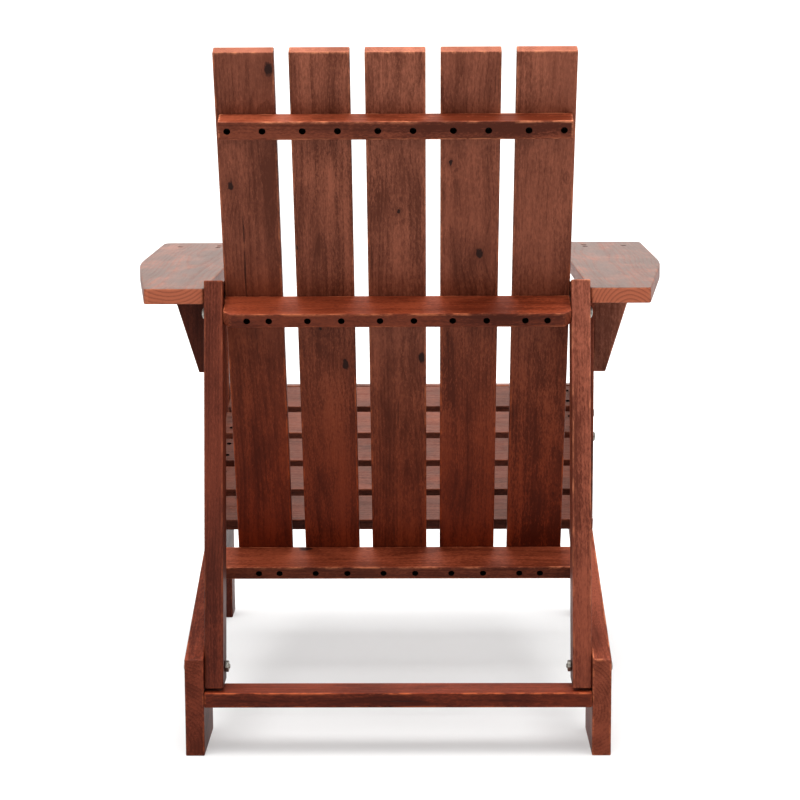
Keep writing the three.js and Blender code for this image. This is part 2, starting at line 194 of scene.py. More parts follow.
class ArmchairStage(bpy.types.PropertyGroup):
    """Camera and studio light."""

    eye: FloatVectorProperty(
        name="Eye", description="Where the camera stands", default=(-0.0328, 3.1475, 0.8746), size=3,
        subtype="XYZ", unit="LENGTH",
    )
    turn: angle_property("Turn", "Camera's turn off the chair's axis", 0.597)
    tilt: angle_property("Tilt", "How far the camera looks down", 8.644)
    roll: angle_property("Roll", "Camera's roll", -0.243)
    lens: FloatProperty(name="Lens", description="Focal length in millimetres", default=100.76)
    top_power: power_property("Top light", "Wide soft light overhead", 440.0)
    rear_power: power_property("Rear light", "Soft light behind the chair", 16.0)
    side_power: power_property("Side light", "Soft light from the side", 8.0)
    wall_power: power_property("Wall light", "Light on the backdrop", 260.0)
    room: FloatProperty(name="Room light", description="Strength of the pale surroundings", default=0.35)
    glow: FloatProperty(name="Floor glow", description="Light that the lit paper gives off", default=0.35)


# Shader maths, written as expressions.


class Signal:
    """One output of a node; arithmetic on it adds Math nodes."""

    def __init__(self, shader, socket):
        self.shader = shader
        self.socket = socket

    def math(self, operation, *operands, clamp=False):
        """Adds a Math node that works on the operands."""
        settings = {"operation": operation, "use_clamp": clamp}
        return self.shader.node("ShaderNodeMath", settings, dict(enumerate(operands)))

    def __add__(self, other):
        return self.math("ADD", self, other)

    def __sub__(self, other):
        return self.math("SUBTRACT", self, other)

    def __rsub__(self, other):
        return self.math("SUBTRACT", other, self)

    def __mul__(self, other):
        return self.math("MULTIPLY", self, other)

    def __truediv__(self, other):
        return self.math("DIVIDE", self, other)

    def __rtruediv__(self, other):
        return self.math("DIVIDE", other, self)

    def __pow__(self, other):
        return self.math("POWER", self, other)

    def __rpow__(self, other):
        return self.math("POWER", other, self)

    __radd__ = __add__
    __rmul__ = __mul__

    def fraction(self):
        """What is left above the whole number below."""
        return self.math("FRACT", self)

    def clamped(self):
        """Kept between 0 and 1."""
        return self.math("ADD", self, 0.0, clamp=True)

    def root(self):
        """The square root."""
        return self.math("SQRT", self)

    def rise(self, low, high):
        """Goes smoothly from 0 at low to 1 at high; low may be the larger."""
        settings = {"interpolation_type": "SMOOTHSTEP"}
        inputs = {"Value": self, "From Min": low, "From Max": high}
        return self.shader.node("ShaderNodeMapRange", settings, inputs)


class Shader:
    """A material whose nodes are added by calls."""

    def __init__(self, name):
        self.material = bpy.data.materials.new(name)
        self.material.use_nodes = True
        self.tree = self.material.node_tree
        self.tree.nodes.clear()

    def node(self, kind, settings=None, inputs=None, out=0):
        """Adds a node, applies its settings, then fills or links its sockets, and returns one output."""
        node = self.tree.nodes.new(kind)
        for key, value in (settings or {}).items():
            setattr(node, key, value)
        for key, value in (inputs or {}).items():
            if isinstance(value, Signal):
                self.tree.links.new(value.socket, node.inputs[key])
            elif node.inputs[key].type == "RGBA":
                node.inputs[key].default_value = (*tuple(value)[:3], 1.0)
            else:
                node.inputs[key].default_value = value
        return Signal(self, node.outputs[out]) if node.outputs else None

    def attribute(self, name, out="Fac"):
        """Reads one of a piece's own attributes."""
        return self.node("ShaderNodeAttribute", {"attribute_name": name}, out=out)

    def stretch(self, vector, scale):
        """Scales a place along each axis, so that a pattern is drawn out or pressed together."""
        return self.node("ShaderNodeMapping", {"vector_type": "POINT"}, {"Vector": vector, "Scale": scale})

    def noise(self, vector, scale, detail=2.0, roughness=0.5, out=0):
        """Soft noise with so many waves a metre along each axis."""
        place = self.stretch(vector, scale)
        inputs = {"Vector": place, "Scale": 1.0, "Detail": detail, "Roughness": roughness}
        return self.node("ShaderNodeTexNoise", {}, inputs, out)

    def split(self, vector):
        """The three parts of a vector or a colour."""
        parts = self.node("ShaderNodeSeparateXYZ", {}, {0: vector})
        return [Signal(self, socket) for socket in parts.socket.node.outputs]

    def mix(self, factor, first, second):
        """Goes from the first colour to the second as the factor goes from 0 to 1."""
        settings = {"data_type": "RGBA", "clamp_factor": True}
        return self.node("ShaderNodeMix", settings, {0: factor, 6: first, 7: second}, out=2)

    def deepen(self, colour, brightness, redness):
        """Scales a colour; the darker it gets, the redder, and redness adds to that."""
        shade = brightness.clamped() ** redness
        inputs = {0: brightness, 1: brightness ** 1.5 * shade, 2: brightness ** 1.8 * shade * shade}
        parts = self.node("ShaderNodeCombineXYZ", {}, inputs)
        return self.node("ShaderNodeVectorMath", {"operation": "MULTIPLY"}, {0: colour, 1: parts})

    def dim(self, colour, factor):
        """Scales a colour."""
        return self.node("ShaderNodeVectorMath", {"operation": "SCALE"}, {0: colour, "Scale": factor})

    def bump(self, height, distance, strength=1.0):
        """A normal tilted by a height."""
        inputs = {"Height": height, "Distance": distance, "Strength": strength}
        return self.node("ShaderNodeBump", {}, inputs)

    def finish(self, **sockets):
        """Ends the material in a principled surface; underscores in a socket's name stand for spaces."""
        inputs = {name.replace("_", " "): value for name, value in sockets.items()}
        surface = self.node("ShaderNodeBsdfPrincipled", {}, inputs)
        self.node("ShaderNodeOutputMaterial", {}, {"Surface": surface})
        return self.material


# Pattern of the timber: waves a metre along, across and through the grain.
RAGGED = (150.0, 220.0, 60.0)
WANDER = (1.6, 4.0, 4.0)
UNREST = (6.0, 60.0, 60.0)
FIBRE = (16.0, 640.0, 640.0)
STREAK = (1.9, 75.0, 75.0)
CLOUD = (9.0, 24.0, 24.0)
BLOOM = (3.0, 6.0, 6.0)
FLECK = (170.0, 520.0, 520.0)
SCUFF = (28.0, 90.0, 90.0)
CHECK = (5.0, 260.0, 260.0)

# Pattern of the metal and of the backdrop's paper, in waves a metre.
METAL_BLOOM = (260.0, 260.0, 260.0)
SCRATCH = (4000.0, 500.0, 900.0)
MOTTLE = (1.5, 1.5, 1.5)

# Knots, growth rings and relief, in metres where they are lengths.
KNOT_CELLS = 9.0  # across a metre of width
KNOT_STRETCH = 0.65  # of those along a metre of grain, so that knots are longer than wide
KNOT_RADIUS = 0.0018
KNOT_SPREAD = 0.004  # added to the radius of the largest
KNOT_RAGGED = 0.007
PITH_WANDER = 0.05
PITH_DEPTH = (0.012, 0.05)  # least and most from the middle of a board's thickness
PITH_SIDE = 0.03  # most from the middle of its width
GRAIN_START = 20.0  # each board is taken from another stretch of the pattern
GRAIN_DEPTH = 0.0004
SCRATCH_DEPTH = 0.00004

# Shares of red, green and blue in the deepest and the brightest stain.
DEEP = (0.5, 0.42, 0.36)
BRIGHT = (1.5, 1.6, 1.6)


def timber(
    name, stain, finish, painted_top_light=0.0, dust_and_sheen=0.0, redness=0.0, knots=0.5, ring_width=0.0036, sawn=0.5
):
    """Stained softwood: growth rings, fibres, knots, checks, sawn ends, and pale edges that are partly
    rubbed wear and partly painted highlight.

    It follows each board's own attributes: grain lies along, across and through the board,
    tone is its brightness, warmth and wear, with painted shade that darkens it towards the floor,
    edge nears 1 at an edge, end is 1 on a sawn end, and the hole attribute is 1 inside a hole, where
    painted shade makes the wall near black. What faces up gets painted top light that makes it lighter,
    and a pale bloom that is partly dust and partly painted sheen. Redness deepens what is dark, which
    also reddens the painted shade low down, and knots is the share of the cells that hold one.
    """
    wood = Shader(name)
    deep = tuple(part * share for part, share in zip(stain, DEEP))
    bright = tuple(part * share for part, share in zip(stain, BRIGHT))
    grain = wood.attribute("grain", "Vector")
    brightness, warmth, wear = wood.split(wood.attribute("tone", "Vector"))
    edge = wood.attribute("edge")
    end = wood.attribute("end").rise(0.45, 0.9)
    # What faces up: the mask for the painted top light and the painted sheen.
    facing = wood.split(wood.node("ShaderNodeNewGeometry", out="Normal"))[2].rise(0.25, 0.9)
    across, through = wood.split(grain)[1:]

    # Knots stand through the board, and the rings bend round them.
    cells = wood.stretch(grain, (KNOT_CELLS * KNOT_STRETCH, KNOT_CELLS, KNOT_CELLS))
    spots = wood.node("ShaderNodeTexVoronoi", {"voronoi_dimensions": "2D"}, {"Vector": cells, "Scale": 1.0})
    chance = wood.split(Signal(wood, spots.socket.node.outputs["Color"]))
    chosen = chance[0].rise(knots, knots - 0.02)
    ragged = wood.noise(grain, RAGGED, 3.0)
    distance = spots / KNOT_CELLS + (ragged - 0.5) * KNOT_RAGGED
    share = distance / (KNOT_RADIUS + chance[1] * KNOT_SPREAD)
    heart = share.rise(1.2, 0.7) * chosen
    halo = share.rise(4.2, 0.9) * chosen
    swell = share.rise(9.0, 0.5) * chosen

    # Growth rings round a pith that wanders along the board.
    wander = wood.split(wood.noise(grain, WANDER, 2.0, out="Color"))
    side = across + (wander[0] - 0.5) * PITH_WANDER
    rise = through + (wander[1] - 0.5) * PITH_WANDER
    unrest = wood.noise(grain, UNREST, 3.0)
    ring = ((side * side + rise * rise).root() / ring_width + swell * 1.6 + unrest * 0.55).fraction()
    late = ring.rise(0.35, 0.92) * ring.rise(1.0, 0.94)

    fibre = wood.noise(grain, FIBRE, 4.0, 0.7)
    streak = wood.noise(grain, STREAK, 4.0, 0.65)
    cloud = wood.noise(grain, CLOUD, 5.0, 0.65)
    bloom = wood.noise(grain, BLOOM, 3.0, 0.6)
    fleck = wood.noise(grain, FLECK, 3.0, 0.7)
    scuff = wood.noise(grain, SCUFF, 4.0, 0.75)
    check = wood.noise(grain, CHECK, 2.0).rise(0.7, 0.76) * cloud.rise(0.48, 0.62)
    pit = fleck.rise(0.7, 0.78) * cloud.rise(0.4, 0.6)

    # The stain, darker in late wood and streaks and brighter where it took thinly.
    patches = (bloom - 0.5) * 2.4 + (cloud - 0.5) * 2.4
    dark = late * 0.3 + (streak - 0.5) * 1.9 + patches + (0.5 - fleck) * 1.6
    colour = wood.mix((dark + 0.28).clamped(), stain, deep)
    fine = (fleck - 0.5) * 3.0 + (0.5 - fibre) * 1.2
    light = (0.5 - streak) * 1.8 + (0.5 - cloud) * 2.4 + fine + warmth
    colour = wood.mix(light.clamped() * 0.8, colour, bright)
    colour = wood.mix(halo * 0.5, colour, deep)
    colour = wood.mix((heart * 0.9 + check * 0.7 + pit * 0.45).clamped(), colour, finish.knot)

    # Sawn ends; pale edges, partly rubbed wear and partly painted highlight; the board's tone with painted
    # shade towards the floor; painted top light, dust and painted sheen on what faces up; and painted shade
    # in holes.
    arcs = wood.mix((late * 0.6 + (fleck - 0.5) * 0.8).clamped(), finish.end_wood, stain)
    colour = wood.mix(end * sawn, colour, arcs)
    # Pale edges: partly rubbed wear, partly a painted highlight along the edges.
    rubbed = (edge.rise(0.2, 1.0) * scuff.rise(0.44, 0.66) * wear).clamped()
    colour = wood.mix(rubbed * 0.45, colour, finish.rubbed_edge_and_highlight)
    # The tone holds painted shade, darker and redder towards the floor; painted top light then brightens
    # what faces up.
    colour = wood.dim(wood.deepen(colour, brightness, redness), facing * painted_top_light + 1.0)
    # Painted sheen on what faces up, laid in a dusty bloom, partly dust.
    if dust_and_sheen:
        worn_off = late * 0.4 + streak.rise(0.5, 0.7) * 0.3
        dust_and_sheen_pattern = cloud.rise(0.3, 0.7) * 0.6 + (fleck - 0.5) * 1.8 + 0.6 - worn_off
        colour = wood.mix(dust_and_sheen_pattern.clamped() * facing * dust_and_sheen, colour, finish.dust_and_sheen)
    # Painted shade: the walls inside holes go near black.
    colour = wood.mix(wood.attribute("hollow"), colour, finish.hole)

    dents = late * 0.22 + check * 1.4 + pit * 0.5 + heart * 0.6
    height = fibre * 0.3 + fleck * 0.25 + scuff * edge * 0.6 - dents
    roughness = 0.4 + fibre * 0.14 + rubbed * 0.15 + end * 0.2 + (cloud - 0.5) * 0.16
    return wood.finish(
        Base_Color=colour, Roughness=roughness, Specular_IOR_Level=0.16,
        Normal=wood.bump(height, GRAIN_DEPTH, 0.9),
    )


def plated_metal(name, plating):
    """Dulled plating with fine scratches and darker bloom."""
    metal = Shader(name)
    place = metal.node("ShaderNodeTexCoord", out="Object")
    bloom = metal.noise(place, METAL_BLOOM, 4.0, 0.6)
    scratch = metal.noise(place, SCRATCH, 2.0)
    dull = tuple(part * 0.4 for part in plating)
    colour = metal.mix(bloom.rise(0.42, 0.7), plating, dull)
    shine = 0.9 - bloom.rise(0.55, 0.75) * 0.4
    roughness = 0.3 + bloom * 0.25 + scratch * 0.1
    relief = metal.bump(scratch, SCRATCH_DEPTH)
    return metal.finish(Base_Color=colour, Metallic=shine, Roughness=roughness, Normal=relief)


# Boards rebuilt from the frame.


def main_way(line):
    """A line's direction, the one of its two that points up the axis it follows most."""
    return line if max(line, key=abs) > 0 else -line


def flat_sides(bm):
    """One flat side of a board, always the same one: its normal and the triangles that lie in it."""
    normal = main_way(max(bm.faces, key=lambda face: face.calc_area()).normal.copy())
    facing = [face for face in bm.faces if face.normal.dot(normal) > PARALLEL]
    point = max(facing, key=lambda face: face.calc_area()).verts[0].co.copy()
    side = {face for face in facing if abs((face.verts[0].co - point).dot(normal)) < SAME_PLANE}
    return normal, side


def around(loop):
    """The sides of a closed outline as pairs of corners."""
    return list(zip(loop, loop[1:] + loop[:1]))


def outer_loop(bm, side):
    """The corners of a flat side's outline in order, without its holes."""
    border = [edge for edge in bm.edges if sum(face in side for face in edge.link_faces) == 1]
    loops = []
    while border:
        edge = border.pop(0)
        corners = [edge.verts[0], edge.verts[1]]
        while corners[-1] != corners[0]:
            edge = next(other for other in corners[-1].link_edges if other in border)
            border.remove(edge)
            corners.append(edge.other_vert(corners[-1]))
        loops.append([vert.co.copy() for vert in corners[:-1]])
    return max(loops, key=lambda loop: sum((end - start).length for start, end in around(loop)))


def turn_at(before, corner, after):
    """How far an outline turns at a corner, left turns positive."""
    first = corner - before
    second = after - corner
    return math.atan2(first.cross(second), first.dot(second))


def rim_beyond(start, end, rim):
    """How far the rounded rim of a board stands out past one edge of its flat side."""
    run = (end - start).normalized()
    outward = Vector((run.y, -run.x))
    length = (end - start).length
    beyond = 0.0
    for point in rim:
        reach = (point - start).dot(outward)
        share = (point - start).dot(run)
        if reach < RIM_WIDTH and -RIM_WIDTH < share < length + RIM_WIDTH:
            beyond = max(beyond, reach)
    return beyond


def grown(points, rim):
    """A flat anticlockwise outline with each edge moved out to the board's rim."""
    runs = [(end - start).normalized() for start, end in around(points)]
    moves = [rim_beyond(start, end, rim) for start, end in around(points)]
    result = []
    for index, corner in enumerate(points):
        first = runs[index - 1]
        second = runs[index]
        shift = (first * moves[index] - second * moves[index - 1]) / first.cross(second)
        result.append(corner + shift)
    return result


class Board:
    """A frame board's true outline, thickness and place, with X along its grain."""

    def __init__(self, node, grain=None):
        bm = bmesh.new()
        bm.from_mesh(frame["nodes"][node].data)
        bmesh.ops.remove_doubles(bm, verts=bm.verts, dist=SAME_POINT)
        normal, side = flat_sides(bm)
        loop = outer_loop(bm, side)
        heights = [vert.co.dot(normal) for vert in bm.verts]
        points = [vert.co.copy() for vert in bm.verts]
        bm.free()
        start, end = max(around(loop), key=lambda ends: (ends[1] - ends[0]).length)
        along = Vector(grain) if grain else main_way((end - start).normalized())
        across = normal.cross(along)
        turned = Matrix((along, across, normal))
        flat = [(turned @ point).xy for point in loop]
        rim = [(turned @ point).xy for point in points]
        if sum(first.cross(second) for first, second in around(flat)) < 0:
            flat.reverse()
        flat = [
            corner for index, corner in enumerate(flat)
            if abs(turn_at(flat[index - 1], corner, flat[(index + 1) % len(flat)])) > STRAIGHT
        ]
        flat = grown(flat, rim)
        lengths = [point.x for point in flat]
        widths = [point.y for point in flat]
        middle = Vector(((min(lengths) + max(lengths)) / 2, (min(widths) + max(widths)) / 2))
        self.node = node
        self.thickness = max(heights) - min(heights)
        self.outline = [point - middle for point in flat]
        self.turned = turned.transposed()
        centre = self.turned @ Vector((*middle, (max(heights) + min(heights)) / 2))
        self.place = Matrix.Translation(centre) @ self.turned.to_4x4()

    def buries(self, point):
        """Whether a point in the board's own space lies below its surface, as the wall of a hole does."""
        if abs(point.z) > self.thickness / 2 - BURIED:
            return False
        for start, end in around(self.outline):
            run = (end - start).normalized()
            if (point.xy - start).dot(Vector((-run.y, run.x))) < BURIED:
                return False
        return True

    def edges(self):
        """The board's sharp edges as pairs of points in its own space."""
        half = self.thickness / 2
        lines = [
            (Vector((*start, height)), Vector((*end, height)))
            for start, end in around(self.outline) for height in (-half, half)
        ]
        for index, corner in enumerate(self.outline):
            before = self.outline[index - 1]
            after = self.outline[(index + 1) % len(self.outline)]
            if turn_at(before, corner, after) > SHARP:
                lines.append((Vector((*corner, -half)), Vector((*corner, half))))
        return lines


def distance_to(line, point):
    """How far a point lies from a line between two points."""
    start = line[0]
    run = line[1] - start
    share = max(0.0, min(1.0, (point - start).dot(run) / run.length_squared))
    return (start + run * share - point).length


def board_mesh(board, sizes):
    """The board with rounded edges, and a margin beside them on its flat sides."""
    bm = bmesh.new()
    half = board.thickness / 2
    base = bm.faces.new([bm.verts.new((*point, -half)) for point in board.outline])
    risen = bmesh.ops.extrude_face_region(bm, geom=[base])["geom"]
    tops = [item for item in risen if isinstance(item, bmesh.types.BMVert)]
    bmesh.ops.translate(bm, verts=tops, vec=(0, 0, board.thickness))
    bmesh.ops.recalc_face_normals(bm, faces=bm.faces)
    sharp = [edge for edge in bm.edges if edge.calc_face_angle(0) > SHARP]
    bmesh.ops.bevel(
        bm, geom=sharp, offset=sizes.edge_radius, offset_type="OFFSET", segments=EDGE_SEGMENTS, profile=0.5,
        affect="EDGES", material=-1, clamp_overlap=True,
    )
    flats = [face for face in bm.faces if face.calc_area() / face.calc_perimeter() > sizes.edge_margin]
    bmesh.ops.inset_individual(bm, faces=flats, thickness=sizes.edge_margin, use_even_offset=True)
    bm.transform(board.place)
    return bm


def stand(name, data):
    """Adds an object to the scene."""
    thing = bpy.data.objects.new(name, data)
    bpy.context.scene.collection.objects.link(thing)
    return thing


def stand_mesh(name, bm):
    """Adds an object made of a bmesh to the scene."""
    mesh = bpy.data.meshes.new(name)
    bm.to_mesh(mesh)
    bm.free()
    return stand(name, mesh)


def new_piece(name, bm, material):
    """Makes a piece of a bmesh in place and gives it to the chair's body."""
    piece = stand_mesh(name, bm)
    piece.data.materials.append(material)
    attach(piece, BODY)
    return piece


def carve(piece, cutters):
    """Cuts closed shapes out of a piece."""
    tool = stand_mesh("cutters", cutters)
    modifier = piece.modifiers.new("carve", "BOOLEAN")
    modifier.operation = "DIFFERENCE"
    modifier.solver = "EXACT"
    modifier.object = tool
    modifier.use_self = True
    bpy.context.view_layer.update()
    depsgraph = bpy.context.evaluated_depsgraph_get()
    carved = bpy.data.meshes.new_from_object(piece.evaluated_get(depsgraph))
    piece.modifiers.clear()
    whole = piece.data
    piece.data = carved
    carved.name = piece.name
    bpy.data.meshes.remove(whole)
    bpy.data.meshes.remove(tool.data)


def set_attribute(mesh, name, kind, domain, values):
    """Stores a list of values on a mesh under a name that a material reads."""
    field = "vector" if kind == "FLOAT_VECTOR" else "value"
    mesh.attributes.new(name, kind, domain).data.foreach_set(field, values)


def mark_board(piece, board, sizes, tone):
    """Gives a board its place along the grain, its nearness to an edge, its sawn ends, the mask for the
    painted shade in its holes, and its tone, darkened towards the floor as painted shade.
    """
    draw = random.Random(board.node)
    pith = draw.choice((-1, 1)) * draw.uniform(*PITH_DEPTH)
    shift = Vector((draw.uniform(0, GRAIN_START), draw.uniform(-PITH_SIDE, PITH_SIDE), pith))
    into = board.place.inverted()
    lines = board.edges()
    along = board.turned.col[0]
    mesh = piece.data
    far = sizes.edge_radius + sizes.edge_margin
    brightness, warmth, wear = tone
    places = []
    nearness = []
    tones = []
    for vert in mesh.vertices:
        local = into @ vert.co
        gap = min(distance_to(line, local) for line in lines)
        places.extend(local + shift)
        nearness.append(max(0.0, min(1.0, (far - gap) / sizes.edge_margin)))
        # Painted shade: darker towards the floor.
        height_shade = min(LOW_SHADE_TONE + SHADE_TONE_RISE * vert.co.z, HIGH_SHADE_TONE)
        tones.extend((brightness * height_shade, warmth, wear))
    sawn = []
    hollow = []
    for face in mesh.polygons:
        corners = len(face.loop_indices)
        sawn += [abs(face.normal.dot(along))] * corners
        hollow += [float(board.buries(into @ face.center))] * corners
    set_attribute(mesh, "grain", "FLOAT_VECTOR", "POINT", places)
    set_attribute(mesh, "tone", "FLOAT_VECTOR", "POINT", tones)
    set_attribute(mesh, "edge", "FLOAT", "POINT", nearness)
    set_attribute(mesh, "end", "FLOAT", "CORNER", sawn)
    set_attribute(mesh, "hollow", "FLOAT", "CORNER", hollow)


def soften(piece):
    """Shades a piece smoothly except across its sharp edges."""
    piece.data.shade_smooth()
    piece.data.set_sharp_from_angle(angle=SHARP)


def pointed(place, into):
    """Stands a thing, drawn point down at the origin, at a place with its point another way."""
    turn = Vector((0, 0, -1)).rotation_difference(into).to_matrix().to_4x4()
    return Matrix.Translation(place) @ turn


def drill_bit(bm, start, into, depth, radius):
    """Adds a closed round cutter that enters at a point."""
    bit_depth = depth + CLEAR
    middle = start + into * (depth - bit_depth / 2)
    bmesh.ops.create_cone(
        bm, cap_ends=True, segments=BIT_SIDES, radius1=radius, radius2=radius, depth=bit_depth,
        matrix=pointed(middle, into),
    )


class Fastener:
    """A frame bolt or screw: where its head starts, which way it runs, and its sizes."""

    def __init__(self, node):
        self.low, self.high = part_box(node)
        span = self.high - self.low
        axis = max(range(3), key=lambda index: span[index])
        centre = (self.low + self.high) / 2
        across = [index for index in range(3) if index != axis]
        self.head_radius = span[across[0]] / 2
        self.length = span[axis]
        points = [vert.co - centre for vert in frame["nodes"][node].data.vertices]
        reach = [math.hypot(point[across[0]], point[across[1]]) for point in points]
        rim = [point[axis] for point, far in zip(points, reach) if far > self.head_radius * RIM_SHARE]
        sign = 1 if sum(rim) > 0 else -1
        self.head_height = self.length / 2 - min(abs(place) for place in rim)
        self.shank_radius = max(far for point, far in zip(points, reach) if point[axis] * sign < 0)
        self.into = Vector([-sign if index == axis else 0 for index in range(3)])
        self.start = centre - self.into * (self.length / 2)

    def meets(self, node):
        """Whether its box and a node's overlap."""
        low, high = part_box(node)
        return all(self.low[axis] < high[axis] and self.high[axis] > low[axis] for axis in range(3))

    def place(self):
        """Stands a fastener drawn point down, its head at the origin, in its hole."""
        return pointed(self.start, self.into)


FASTENERS = {
    node: Fastener(node) for node, slot in SLOTS.items() if slot == METAL_SLOT and not node.endswith("_nut")
}


def drill_board(cutters, node):
    """Adds the holes that the frame's bolts and screws need in a board."""
    for name, fastener in FASTENERS.items():
        if fastener.meets(node):
            drill_bit(cutters, fastener.start, fastener.into, fastener.length, fastener.shank_radius + FIT)
            if not name.endswith("_bolt"):
                outside = fastener.start - fastener.into * SINK
                head = SINK + fastener.head_height
                drill_bit(cutters, outside, fastener.into, head, fastener.head_radius + FIT)


def finish_board(node, sizes, material, tone, grain=None, drill=None):
    """One board of the chair, standing for its frame node."""
    board = Board(node, grain)
    piece = new_piece(f"{node}_board", board_mesh(board, sizes), material)
    cutters = bmesh.new()
    drill_board(cutters, node)
    if drill:
        drill(cutters, board)
    if cutters.verts:
        carve(piece, cutters)
    else:
        cutters.free()
    mark_board(piece, board, sizes, tone)
    soften(piece)
    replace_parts(piece, node)
    return piece


# Where the small screws go.


def middle_of(node):
    """The middle of a frame node's box."""
    low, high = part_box(node)
    return (low + high) / 2


def slat_lines():
    """The middle of each back slat, from side to side."""
    return [middle_of(f"back_slat_{number}").x for number in range(1, SLAT_COUNT + 1)]


def pocket_starts(board, sizes):
    """Where each counterbore enters the rear of a batten, and the way it runs.

    The long battens' outermost ones sit further in, clear of the posts.
    """
    shifted = board.node != "top_batten"
    across = board.turned.col[1]
    rearward = across if across.y > 0 else -across
    rear = board.place.translation + rearward * max(point.y for point in board.outline)
    lines = slat_lines()
    starts = []
    for line in lines:
        for side in (-1, 1):
            offset = side * sizes.pocket_offset
            outermost = abs(line) == max(abs(other) for other in lines) and side * line > 0
            if shifted and outermost:
                offset -= side * sizes.pocket_shift
            starts.append(Vector((line + offset, rear.y, rear.z)))
    return starts, -rearward


def seat_screw_starts(board, sizes):
    """Where each screw enters the top of a seat slat, over the side rails, and the way it runs."""
    through = board.turned.col[2]
    upward = through if through.z > 0 else -through
    across = board.turned.col[1]
    rails = [middle_of(f"{side}_side_rail").x for side in SIDES]
    top = board.place.translation + upward * (board.thickness / 2)
    starts = [
        Vector((rail, top.y, top.z)) + across * (side * sizes.seat_screw_offset)
        for rail in rails for side in (-1, 1)
    ]
    return starts, -upward


# Hardware.


def turned(profile, steps):
    """A solid turned round the Z axis from points given as radius and height, top first."""
    bm = bmesh.new()
    verts = [bm.verts.new((radius, 0, height)) for radius, height in profile]
    edges = [bm.edges.new(pair) for pair in zip(verts, verts[1:])]
    bmesh.ops.spin(
        bm, geom=verts + edges, cent=(0, 0, 0), axis=(0, 0, 1), angle=2 * math.pi, steps=steps,
        use_merge=True,
    )
    bmesh.ops.remove_doubles(bm, verts=bm.verts, dist=SAME_POINT / 10)
    bmesh.ops.recalc_face_normals(bm, faces=bm.faces)
    return bm


def threaded(radius, start, end):
    """The profile of a thread, drawn as rings, from one height down to another."""
    count = round((start - end) / THREAD_PITCH)
    rings = []
    for index in range(count):
        top = start - index * THREAD_PITCH
        rings += [(radius * THREAD_ROOT, top), (radius, top - THREAD_PITCH / 2)]
    return rings


def bolt_profile(bolt):
    """A domed head, a plain shank and a threaded end with a small lead."""
    angles = [math.radians(degrees) for degrees in range(0, 91, 15)]
    dome = [
        (bolt.head_radius * math.sin(angle), bolt.head_height * (math.cos(angle) - 1) * BOLT_DOME)
        for angle in angles
    ]
    radius = bolt.shank_radius
    tip = -bolt.length
    thread = threaded(radius, tip + BOLT_THREAD, tip + radius * 0.4)
    under = [(bolt.head_radius, -bolt.head_height), (radius, -bolt.head_height)]
    return dome + under + thread + [(radius * 0.7, tip), (0, tip)]


def screw_profile(head_radius, head_height, shank_radius, length):
    """A low rounded head over a threaded shank with a point."""
    head = [(0, 0), (head_radius * 0.6, 0), (head_radius * 0.9, -head_height * 0.25)]
    under = [(head_radius, -head_height * 0.55), (head_radius, -head_height), (shank_radius, -head_height)]
    point = -length + shank_radius * 3
    thread = threaded(shank_radius, -head_height - THREAD_PITCH, point)
    return head + under + thread + [(0, -length)]


def recess(piece, radius):
    """Cuts a cross into the top of a screw head."""
    cutters = bmesh.new()
    stretch = Matrix.Diagonal((*(radius * share for share in CROSS), 1))
    for turn in (0, math.pi / 2):
        bmesh.ops.create_cube(cutters, size=1.0, matrix=Matrix.Rotation(turn, 4, "Z") @ stretch)
    carve(piece, cutters)


def screw_mesh(sizes, head_radius, head_height, shank_radius, length):
    """A whole screw, point down with the middle of its head at the origin."""
    bm = turned(screw_profile(head_radius, head_height, shank_radius, length), sizes.spin_steps)
    pattern = stand_mesh("screw", bm)
    recess(pattern, head_radius)
    mesh = pattern.data
    bpy.data.objects.remove(pattern)
    return mesh


def screws_piece(name, mesh, places, material):
    """Copies of one screw, each at a place of its own, as one piece."""
    bm = bmesh.new()
    for place in places:
        before = set(bm.verts)
        bm.from_mesh(mesh)
        added = [vert for vert in bm.verts if vert not in before]
        bmesh.ops.transform(bm, matrix=place, verts=added)
    piece = new_piece(name, bm, material)
    soften(piece)
    return piece


def driven(start, into, sunk, draw):
    """The place of a screw driven below a start point, its cross turned by chance."""
    return pointed(start + into * sunk, into) @ Matrix.Rotation(draw.uniform(0, math.pi), 4, "Z")


def hex_nut(node, material):
    """A hexagon nut with its corners turned down, standing for its frame node."""
    low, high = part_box(node)
    thickness = high.x - low.x
    radius = max(high.y - low.y, high.z - low.z) / 2
    bm = bmesh.new()
    bmesh.ops.create_cone(bm, cap_ends=True, segments=6, radius1=radius, radius2=radius, depth=thickness)
    rims = [edge for edge in bm.edges if abs(edge.verts[0].co.z - edge.verts[1].co.z) < thickness / 2]
    bmesh.ops.bevel(
        bm, geom=rims, offset=radius * NUT_CHAMFER, offset_type="OFFSET", segments=2, profile=0.5,
        affect="EDGES", material=-1,
    )
    wide = high.y - low.y >= high.z - low.z
    twist = Matrix.Rotation(math.pi / 2 if wide else 0, 4, "Z")
    bm.transform(Matrix.Translation((low + high) / 2) @ Matrix.Rotation(math.pi / 2, 4, "Y") @ twist)
    piece = new_piece(f"{node}_metal", bm, material)
    bolt = FASTENERS[node.replace("_nut", "_bolt")]
    hole = bmesh.new()
    drill_bit(hole, bolt.start, bolt.into, bolt.length + CLEAR, bolt.shank_radius + FIT)
    carve(piece, hole)
    soften(piece)
    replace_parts(piece, node)


# Operators.


